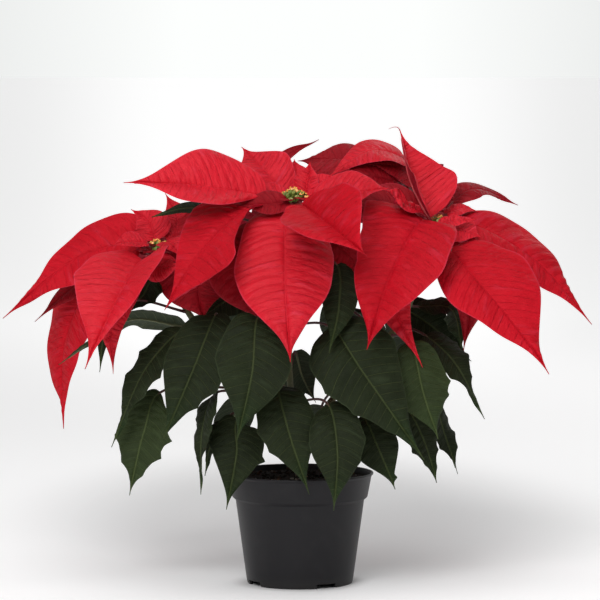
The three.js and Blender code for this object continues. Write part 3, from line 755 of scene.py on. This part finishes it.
def pot_material():
    """Satin black plastic with a faint grain, a little dust and fine rub marks."""
    n = surface("black_plastic")
    place = n.position()
    _, _, height = n.split(place)
    grain = n.noise(place, 1500, 2, 0.5)
    dust = n.noise(place, 45, 5, 0.65)
    smear = n.noise(place, 14, 3, 0.5)
    colour = n.blend(n.map(dust, 0.5, 0.75, 0, 0.35), (0.0078, 0.0073, 0.0088), (0.018, 0.017, 0.018))
    # Lighter over the lowest 12 mm of the pot.
    colour = n.blend(n.map(height, 0, 0.012, 0.35, 0), colour, (0.035, 0.033, 0.031))
    rough = n.add(n.map(smear, 0.3, 0.7, 0.36, 0.46), n.times(dust, 0.08))
    return n.finish(colour, rough, n.bump(n.add(grain, n.times(smear, 0.4)), 0.00006, 0.7), 0.25)


def soil_material(name, dark, light, grain=520, depth=0.0012):
    n = surface(name)
    place = n.position()
    crumbs = n.noise(place, grain, 6, 0.7)
    colour = n.blend(n.map(crumbs, 0.4, 0.72), dark, light)
    colour = n.blend(n.map(n.noise(place, 60, 3, 0.5), 0.4, 0.7, 0, 0.5), colour, dark)
    return n.finish(colour, n.map(crumbs, 0.3, 0.7, 0.75, 0.98), n.bump(crumbs, depth), 0.25)


def smooth_material(name, low, high, roughness, **others):
    """Small fleshy or waxy parts: a soft mottle and a slight relief."""
    n = surface(name)
    mottle = n.noise(n.position(), 260, 4, 0.6)
    colour = n.blend(n.map(mottle, 0.35, 0.65), low, high)
    return n.finish(colour, roughness, n.bump(mottle, 0.0002, 0.7), **others)


# Each blade's colours: plain, second, dark, vein and margin. Dark also paints shade in the folds, and margin
# paints a highlight on their crests.
BRACT_TOP = blade_material(
    "bract_top", (0.75, 0.012, 0.030), (0.65, 0.008, 0.022), (0.47, 0.003, 0.012),
    (0.45, 0.004, 0.014), (0.66, 0.04, 0.08), roughness=0.5, gloss=0.22, fold_depth=0.0032)
# The bract's colours darkened by painted shade, for bracts that stand in half shade.
BRACT_HALF_SHADE_PAINTED = blade_material(
    "bract_mid", (0.61, 0.006, 0.018), (0.52, 0.004, 0.013), (0.36, 0.003, 0.010),
    (0.35, 0.003, 0.011), (0.56, 0.03, 0.06), roughness=0.54, gloss=0.1, fold_depth=0.0032)
# The bract's colours darkened further by painted deep shade, for bracts in shadow and in the dark gaps
# between bracts.
BRACT_DARK_SHADE_PAINTED = blade_material(
    "bract_deep", (0.36, 0.004, 0.012), (0.29, 0.003, 0.010), (0.20, 0.002, 0.006),
    (0.20, 0.002, 0.007), (0.42, 0.02, 0.04), roughness=0.52, gloss=0.14, fold_depth=0.0022)
BRACT_UNDER = blade_material(
    "bract_under", (0.50, 0.013, 0.038), (0.43, 0.010, 0.03), (0.31, 0.006, 0.015),
    (0.58, 0.05, 0.08), (0.55, 0.04, 0.07), roughness=0.6, vein_depth=-0.0004,
    vein_share=0.4, fold_depth=0.0015)
LEAF_TOP = blade_material(
    "leaf_top", (0.011, 0.0155, 0.006), (0.016, 0.023, 0.0085), (0.008, 0.012, 0.005),
    (0.075, 0.095, 0.035), (0.035, 0.05, 0.022), roughness=0.54, vein_width=0.055,
    vein_depth=0.0004, vein_share=0.5, tip=(0.018, 0.046, 0.011), gloss=0.11, fold_depth=0.0012)
# The leaf's colours made lighter: painted light, for leaves that stand in brighter light.
LEAF_LIT_PAINTED = blade_material(
    "leaf_fresh", (0.027, 0.041, 0.012), (0.036, 0.055, 0.017), (0.015, 0.023, 0.008),
    (0.10, 0.13, 0.045), (0.055, 0.08, 0.03), roughness=0.52, vein_width=0.055,
    vein_depth=0.0004, vein_share=0.5, tip=(0.03, 0.062, 0.016), gloss=0.14, fold_depth=0.0012)
LEAF_UNDER = blade_material(
    "leaf_under", (0.055, 0.070, 0.042), (0.042, 0.058, 0.032), (0.03, 0.04, 0.025),
    (0.12, 0.14, 0.07), (0.04, 0.055, 0.033), roughness=0.58, vein_width=0.09,
    vein_depth=-0.0005, vein_share=0.6)
BRACT_STALK = stalk_material("bract_stalk", (0.22, 0.02, 0.02), (0.50, 0.05, 0.06), (0.12, 0.01, 0.012))
LEAF_STALK = stalk_material("leaf_stalk", (0.075, 0.022, 0.022), (0.13, 0.15, 0.07), (0.04, 0.02, 0.014))
BLADE_LOOKS = {
    "bract": (BRACT_TOP, BRACT_UNDER, BRACT_STALK),
    "mid": (BRACT_HALF_SHADE_PAINTED, BRACT_UNDER, BRACT_STALK),
    "deep": (BRACT_DARK_SHADE_PAINTED, BRACT_UNDER, BRACT_STALK),
    "leaf": (LEAF_TOP, LEAF_UNDER, LEAF_STALK),
    "fresh": (LEAF_LIT_PAINTED, LEAF_UNDER, LEAF_STALK),
}
# What a flower head is made of, and the numbers of these materials in its piece.
HEAD_LOOKS = (
    smooth_material("cup_green", (0.10, 0.17, 0.02), (0.20, 0.26, 0.04), 0.45),
    smooth_material("cup_rim", (0.42, 0.10, 0.03), (0.55, 0.20, 0.05), 0.5),
    smooth_material("gland_yellow", (0.85, 0.26, 0.05), (0.95, 0.48, 0.14), 0.2, Coat_Weight=0.4),
    smooth_material("stamen_red", (0.5, 0.02, 0.02), (0.65, 0.08, 0.03), 0.5),
    smooth_material("pollen", (0.8, 0.5, 0.06), (0.9, 0.65, 0.15), 0.8),
    *BLADE_LOOKS["bract"],
    smooth_material("cup_tip", (0.34, 0.38, 0.10), (0.55, 0.56, 0.22), 0.4),
    # The collar's material: the bract red darkened with painted shade.
    BRACT_DARK_SHADE_PAINTED,
)
CUP, RIM, GLAND, STAMEN, POLLEN, YOUNG, UNDER, STALK, CUP_TIP, COLLAR = range(10)


# ---- pieces ----
def keep(piece, slot, *nodes):
    """The piece rides on the plant and is seen in the place of the nodes, if there are any."""
    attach(piece, "root")
    if nodes:
        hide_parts(*nodes)


def make_blade(name, slot, row, *nodes):
    stem, at, foot, middle, tip, width, faces, fold, *form = row
    form = dict(*form)
    looks = BLADE_LOOKS[form.pop("tone", slot)]
    skin = Skin()
    Blade(name, stem_point(stem, at), foot, middle, tip, width, faces, fold, **form).add_to(skin, 0, 1, 2)
    keep(skin.piece(name + "_blade", *looks), slot, *nodes)


def make_blades():
    for stem, rows in BRACTS.items():
        for i, row in enumerate(rows, 1):
            make_blade(f"bract_{stem}_{i}", "bract", (stem, *row), f"bract_{stem}_{i}")
    for i, row in enumerate(LEAVES, 1):
        make_blade(f"leaf_{i}", "leaf", row, f"leaf_{i}")
    for i, row in enumerate(EXTRA_BRACTS, 1):
        make_blade(f"inner_bract_{i}", "bract", row)
    for i, row in enumerate(EXTRA_LEAVES, 1):
        make_blade(f"inner_leaf_{i}", "leaf", row)


def cut(obj, cutter):
    """Takes the cutter's solid out of the object, and removes the cutter."""
    modifier = obj.modifiers.new("cut", "BOOLEAN")
    modifier.object = cutter
    modifier.operation = "DIFFERENCE"
    modifier.solver = "EXACT"
    evaluated = obj.evaluated_get(bpy.context.evaluated_depsgraph_get())
    mesh = bpy.data.meshes.new_from_object(evaluated)
    obj.modifiers.clear()
    obj.data = mesh
    bpy.data.objects.remove(cutter)


def make_pot():
    outside = [(FOOT_RADIUS, 0), (FOOT_RADIUS + 0.9, 4.5), (FOOT_RADIUS + 1.7, 10),
               (BAND_RADIUS - 6.5, 74), (BAND_RADIUS - 3.6, 76.5), (BAND_RADIUS, 95.2),
               (RIM_RADIUS, 96.6), (RIM_RADIUS, POT_HEIGHT)]
    inner = BAND_RADIUS - POT_WALL
    inside = [(inner + 0.6, POT_HEIGHT), (inner, 96.6), (inner - 3.6, 75.5), (inner - 6.5, 72.5),
              (FOOT_RADIUS + 0.2, 8.6), (FOOT_RADIUS - 1, 5.9), (0, 5.9)]
    under = [(0, POT_FLOOR), (FOOT_INNER_RADIUS, POT_FLOOR), (FOOT_INNER_RADIUS, 0)]
    shell = turned(rounded(under + outside + inside, 0.6), POT_SIDES)
    pot = plain_piece("nursery_pot", *shell, pot_material())
    notch = np.array(list(product((-1, 1), repeat=3))) * NOTCH_SIZE / 2 + (FOOT_RADIUS, 0, 0)
    notch_faces = [(0, 1, 3, 2), (4, 6, 7, 5), (0, 4, 5, 1), (2, 3, 7, 6), (0, 2, 6, 4), (1, 5, 7, 3)]
    drain, drain_faces = turned([(0, 0), (DRAIN_RADIUS, 0), (DRAIN_RADIUS, 8), (0, 8)], 24)
    for quarter in range(4):
        turn = radians(NOTCH_TURN + 90 * quarter)
        cut(pot, plain_piece("notch_cutter", notch @ upright_turn(turn), notch_faces))
        place = spoke(turn + pi / 4, DRAIN_CIRCLE, 1)
        cut(pot, plain_piece("drain_cutter", drain + place, drain_faces))
    keep(pot, "pot", "pot")


def soil_point(turn, radius):
    """A point of the soil's lumpy surface."""
    x, y, _ = spoke(turn, radius)
    mound = SOIL_MOUND * min(1, max(0, (SOIL_RADIUS - radius) / MOUND_RUN))
    place = Vector((x, y, 0))
    lumps = noise.fractal(place / 9, 0.8, 2.1, 4) + noise.noise(place / 2.2) * 0.5
    settle = min(1, (SOIL_RADIUS - radius) / 3 + 0.3)
    return x, y, SOIL_TOP + mound - 0.3 + lumps * 0.8 * settle


def make_soil():
    rings, sides = 54, 132
    wall = [(58.0, 75.3), (55.2, 72.3), (46.2, 8.9), (44.9, 6.3)]
    turns = [tau * i / sides for i in range(sides)]
    points = [soil_point(0, 0)]
    points += [soil_point(turn, SOIL_RADIUS * k / rings) for k in range(1, rings + 1) for turn in turns]
    points += [spoke(turn, *ring) for ring in wall for turn in turns]
    faces = [face[::-1] for face in ring_faces(rings + len(wall), sides, 1)]
    faces += [(0, 1 + i, 1 + (i + 1) % sides) for i in range(sides)]
    faces.append(list(range(len(points)))[:-sides - 1:-1])
    skin = Skin()
    skin.add(points, faces)
    chance = random.Random(4)
    for _ in range(CRUMB_COUNT):
        radius, turn = CRUMB_RADII[1] * sqrt(chance.random()), chance.uniform(0, tau)
        if radius < CRUMB_RADII[0]:
            continue
        size = chance.uniform(0.5, 1.1) if chance.random() < 0.7 else chance.uniform(1.1, 2.2)
        look = chance.choices((1, 2, 3), (10, 5, 1))[0]
        add_crumb(skin, soil_point(turn, radius) + np.array([0, 0, 0.3 * size]), size, look, chance)
    soil = skin.piece(
        "potting_soil",
        soil_material("peat", (0.006, 0.0042, 0.003), (0.032, 0.021, 0.013)),
        soil_material("peat_crumb", (0.008, 0.005, 0.0035), (0.04, 0.026, 0.016), 900, 0.0006),
        soil_material("bark_crumb", (0.03, 0.016, 0.008), (0.10, 0.055, 0.028), 700, 0.0006),
        soil_material("pale_crumb", (0.22, 0.2, 0.17), (0.4, 0.37, 0.32), 800, 0.0005))
    keep(soil, "soil", "soil")


def add_crumb(skin, centre, size, look, chance):
    """A rough grain: a low ball with its points pushed about."""
    rings, sides = 3, 7
    stretch = np.array([chance.uniform(0.7, 1.5), chance.uniform(0.7, 1.3), chance.uniform(0.5, 0.9)])
    turn = chance.uniform(0, pi)
    points = [(0, 0, -1)]
    for polar in (pi * (k + 1) / (rings + 1) for k in range(rings)):
        points += [chance.uniform(0.75, 1.15) * spoke(tau * i / sides, sin(polar), -cos(polar))
                   for i in range(sides)]
    points = np.vstack([points, (0, 0, 1)]) * stretch * size
    skin.add(points @ upright_turn(turn) + centre, capped_faces(rings, sides), look)


def make_stem():
    skin = Skin()
    leaving = {stem: [row[0] for row in BRACTS.get(stem, ())] for stem in STEMS}
    for stem, at, *_ in LEAVES:
        leaving[stem].append(at)
    for stem, points in STEMS.items():
        length = curve_length(points)
        rows = max(20, round(length / 2.2))
        centres = curve_points(points, even_shares(points, rows + 1))
        share = np.linspace(0, 1, rows + 1)
        first, last = (STEM_RADIUS, BRANCH_RADIUS) if stem == "main" else (BRANCH_RADIUS, TIP_RADIUS)
        radii = first + (last - first) * share
        for at in leaving[stem]:
            radii += SWELLING * np.exp(-((share - at) * length / 3) ** 2)
        radii *= 1 + 0.03 * np.sin(share * rows * 0.9) + 0.02 * np.sin(share * rows * 2.3)
        radii[0] = radii[-1] = 0.6 * last
        add_tube(skin, centres, radii, 0, 20)
    keep(skin.piece("stem_and_branches", stem_material()), "stem", "stem")


# Profiles in a flower head: radius and height, before their scale.
CUP_PROFILE = [(0, 0), (1.2, 0.1), (2.0, 1.4), (2.35, 3.0), (2.2, 4.6), (1.7, 5.7), (1.25, 6.2),
               (1.3, 6.6), (0.95, 6.5), (0.8, 5.9), (0, 5.7)]
GLAND_PROFILE = [(0, -0.2), (0.9, 0.0), (1.45, 0.6), (1.5, 1.0), (1.15, 1.15), (0.85, 0.8), (0, 0.6)]
BUD_PROFILE = [(0, 0), (0.9, 0.2), (1.35, 1.2), (1.25, 2.2), (0.7, 3.0), (0, 3.3)]
DOME_PROFILE = [(0, -1.5), (2.4, -1.2), (4.4, 1.0), (4.8, 3.2), (3.8, 5.2), (0, 6.2)]
ANTHER_PROFILE = [(0, -0.55), (0.45, -0.4), (0.65, 0.0), (0.47, 0.4), (0, 0.55)]
FRINGE_COUNT = 10
GLAND_STEP = 2.1                # turn from one gland of a cup to the next, in radians
GOLDEN_TURN = pi * (3 - sqrt(5))
YOUNG_FORM = dict(quilt=0.3, wave=1.0, step=1.2)


def add_cup(skin, place, axis, scale, chance, opened):
    """One cyathium: a green cup with a fringed rim, yellow glands at its side and stamens."""
    axis = unit(np.array(axis, float))
    side = unit(np.cross(axis, (0.3, 0.5, 0.8)))

    def outward(turn):
        return side * cos(turn) + np.cross(axis, side) * sin(turn)

    add_turned(skin, rounded(CUP_PROFILE, 0.5, 2) * scale, place, axis, 15, CUP, 5, 0.05)
    for i in range(FRINGE_COUNT):
        out = outward(tau * i / FRINGE_COUNT)
        base = place + axis * 6.2 * scale + out * 1.15 * scale
        path = [base, base + axis * 0.5 * scale + out * 0.1, base + axis * scale - out * 0.35 * scale]
        add_tube(skin, path, np.array([0.28, 0.22, 0.06]) * scale, RIM if opened else CUP_TIP, 5)
    turn = chance.uniform(0, tau)
    for k in range(chance.choice((2, 3)) if opened else 1):
        out = unit(outward(turn + GLAND_STEP * k) + (0, 0, 0.5))
        gland = rounded(GLAND_PROFILE, 0.3, 2) * scale * (1.3 if opened else 0.85)
        add_turned(skin, gland, place + axis * 4.7 * scale + out * 1.7 * scale, out + axis * 0.7,
                   14, GLAND if opened else CUP_TIP, 2, 0.22)
    for _ in range(chance.randint(2, 4) if opened else 0):
        lean = np.array([chance.uniform(-1, 1) for _ in range(3)])
        tip = place + axis * (7.2 + chance.uniform(0, 0.8)) * scale + lean * 0.8
        base = place + axis * 5.8 * scale + lean * 0.3
        add_tube(skin, [base, (base + tip) / 2 + lean * 0.2, tip], (0.24, 0.2, 0.2), STAMEN, 6)
        add_turned(skin, ANTHER_PROFILE, tip, lean + axis, 8, POLLEN)


def make_head(head):
    """The tuft of cyathia at a branch's end, with the buds between them and the youngest bracts."""
    chance = random.Random(head)
    skin = Skin()
    top = np.array(STEMS[head][-1], float)
    add_turned(skin, rounded(DOME_PROFILE, 1.0, 3), top, (0, 0, 1), 20, CUP)
    for i in range(CUP_COUNTS[head]):
        turn, reach = i * GOLDEN_TURN + 0.4, 2.15 * sqrt(i)
        place = top + spoke(turn, reach, 5.4 - 0.07 * reach ** 2)
        opened = sin(turn) * reach > -5
        add_cup(skin, place, spoke(turn, 0.11 * reach, 1), chance.uniform(0.64, 0.86), chance, opened)
    for i in range(CUP_COUNTS[head]):
        turn, reach = i * GOLDEN_TURN + 1.5, 2.0 * sqrt(i + 1.5)
        place = top + spoke(turn, reach, 7.2 - 0.25 * reach)
        add_turned(skin, rounded(BUD_PROFILE, 0.4, 2), place, spoke(turn, 0.3, 1), 10, CUP)
    for k in range(COLLAR_COUNT):
        turn = tau * (k + 0.3) / COLLAR_COUNT
        points = [top, *(top + spoke(turn, *way) for way in COLLAR_PATH)]
        facing = (degrees(turn), 75)
        blade = Blade(f"{head}_collar_{k}", *points, COLLAR_WIDTH, facing, 0, **YOUNG_FORM)
        blade.add_to(skin, COLLAR, UNDER, STALK)
    for i, row in enumerate(YOUNG_BRACTS[head]):
        Blade(f"{head}_young_{i}", top + (0, 0, 3.9), *row, **YOUNG_FORM).add_to(skin, YOUNG, UNDER, STALK)
    keep(skin.piece(f"flower_head_{head}_tuft", *HEAD_LOOKS), "flower_head", f"flower_head_{head}")


# ---- stage ----
CAMERA_PLACE = (0.00007, -3.0, 0.4525)
CAMERA_PITCH = 0.0673           # radians below the horizon
CAMERA_LENS = 204.68
FLOOR_HALF = 2e6                # so wide that the floor ends at the horizon
LIGHT_AIM = (0, 0, 0.25)
# The studio is brightest along the line that the plant faces and dims to both sides.
FALLOFF_EDGE = (0.035, 0.09)
FALLOFF_REACH = 3
FALLOFF_SKY = 0.86
FALLOFF_FLOOR = 0.64
SHADE_STRETCH = (2, 1, 1)       # the floor's painted glow is least in a patch behind the plant: a painted shadow of the plant
SHADE_PLACE = (0, -0.45, 0)


def make_camera():
    camera = bpy.data.cameras.new("camera")
    camera.lens = CAMERA_LENS
    camera.sensor_width = 36
    camera.clip_end = 200
    bpy.context.scene.camera = put_in_scene("camera", camera, CAMERA_PLACE, (pi / 2 - CAMERA_PITCH, 0, 0))


def add_light(name, place, size, power):
    light = bpy.data.lights.new(name, "AREA")
    light.shape = "DISK"
    light.size = size
    light.energy = power
    way = Vector(LIGHT_AIM) - Vector(place)
    put_in_scene(name, light, place, way.to_track_quat("-Z", "Y").to_euler())


def floor_material():
    n = surface("pale_floor")
    place = n.position()
    across, _, _ = n.split(place)
    away = n.put("VectorMath", place, operation="LENGTH").outputs["Value"]
    beside = n.put("VectorMath", place, SHADE_STRETCH, SHADE_PLACE, operation="MULTIPLY_ADD").outputs[0]
    spread = n.put("VectorMath", beside, operation="LENGTH").outputs["Value"]
    # Painted glow near the plant, least in the patch behind it: a painted shadow of the plant.
    near = n.map(spread, 0.25, 0.7, 0.05, 0.34)
    sideways = n.math("DIVIDE", n.size(across), n.add(away, FALLOFF_REACH))
    # More painted glow far off, fading to both sides.
    glow = n.times(n.map(away, 1.2, 3.4, 0, 0.44), n.map(sideways, *FALLOFF_EDGE, 1, FALLOFF_FLOOR))
    # No glow under the pot, rising to full beyond its rim: painted contact shade round its foot.
    under_pot = n.map(away, MM * FOOT_INNER_RADIUS, MM * RIM_RADIUS)
    return n.finish((0.8, 0.79, 0.795, 1), 0.6, None, 0.2, Emission_Color=(1, 1, 1, 1),
                    Emission_Strength=n.times(n.add(near, glow), under_pot))


def make_world():
    """A studio that is white at the horizon and dimmer overhead."""
    n = Nodes(bpy.data.worlds.new("studio"))
    x, _, z = n.split(n.put("TexCoord").outputs["Generated"])
    upwards = n.map(z, 0.03, 0.12, 1, 0.3, "LINEAR")
    sideways = n.map(n.size(x), *FALLOFF_EDGE, 1, FALLOFF_SKY, "LINEAR")
    background = n.tree.nodes["Background"]
    n.feed(background.inputs["Color"], (0.985, 1, 0.99, 1))
    n.feed(background.inputs["Strength"], n.times(upwards, sideways))
    bpy.context.scene.world = n.owner


def make_stage():
    corners = np.array([(-1, -1, 0), (1, -1, 0), (1, 1, 0), (-1, 1, 0)]) * FLOOR_HALF
    floor = plain_piece("floor", corners, [(0, 1, 2, 3)], floor_material())
    make_world()
    bpy.context.scene.view_settings.view_transform = "Standard"
    add_light("front_softbox", (-0.75, -2.3, 1.85), 1.5, 46.5)
    add_light("top_softbox", (0.0, -0.45, 2.6), 2.0, 18.5)
    add_light("back_softbox", (0.9, 1.9, 1.5), 1.4, 10)


# ---- the scene ----
make_camera()
make_stage()
make_pot()
make_soil()
make_stem()
for head_name in CUP_COUNTS:
    make_head(head_name)
make_blades()
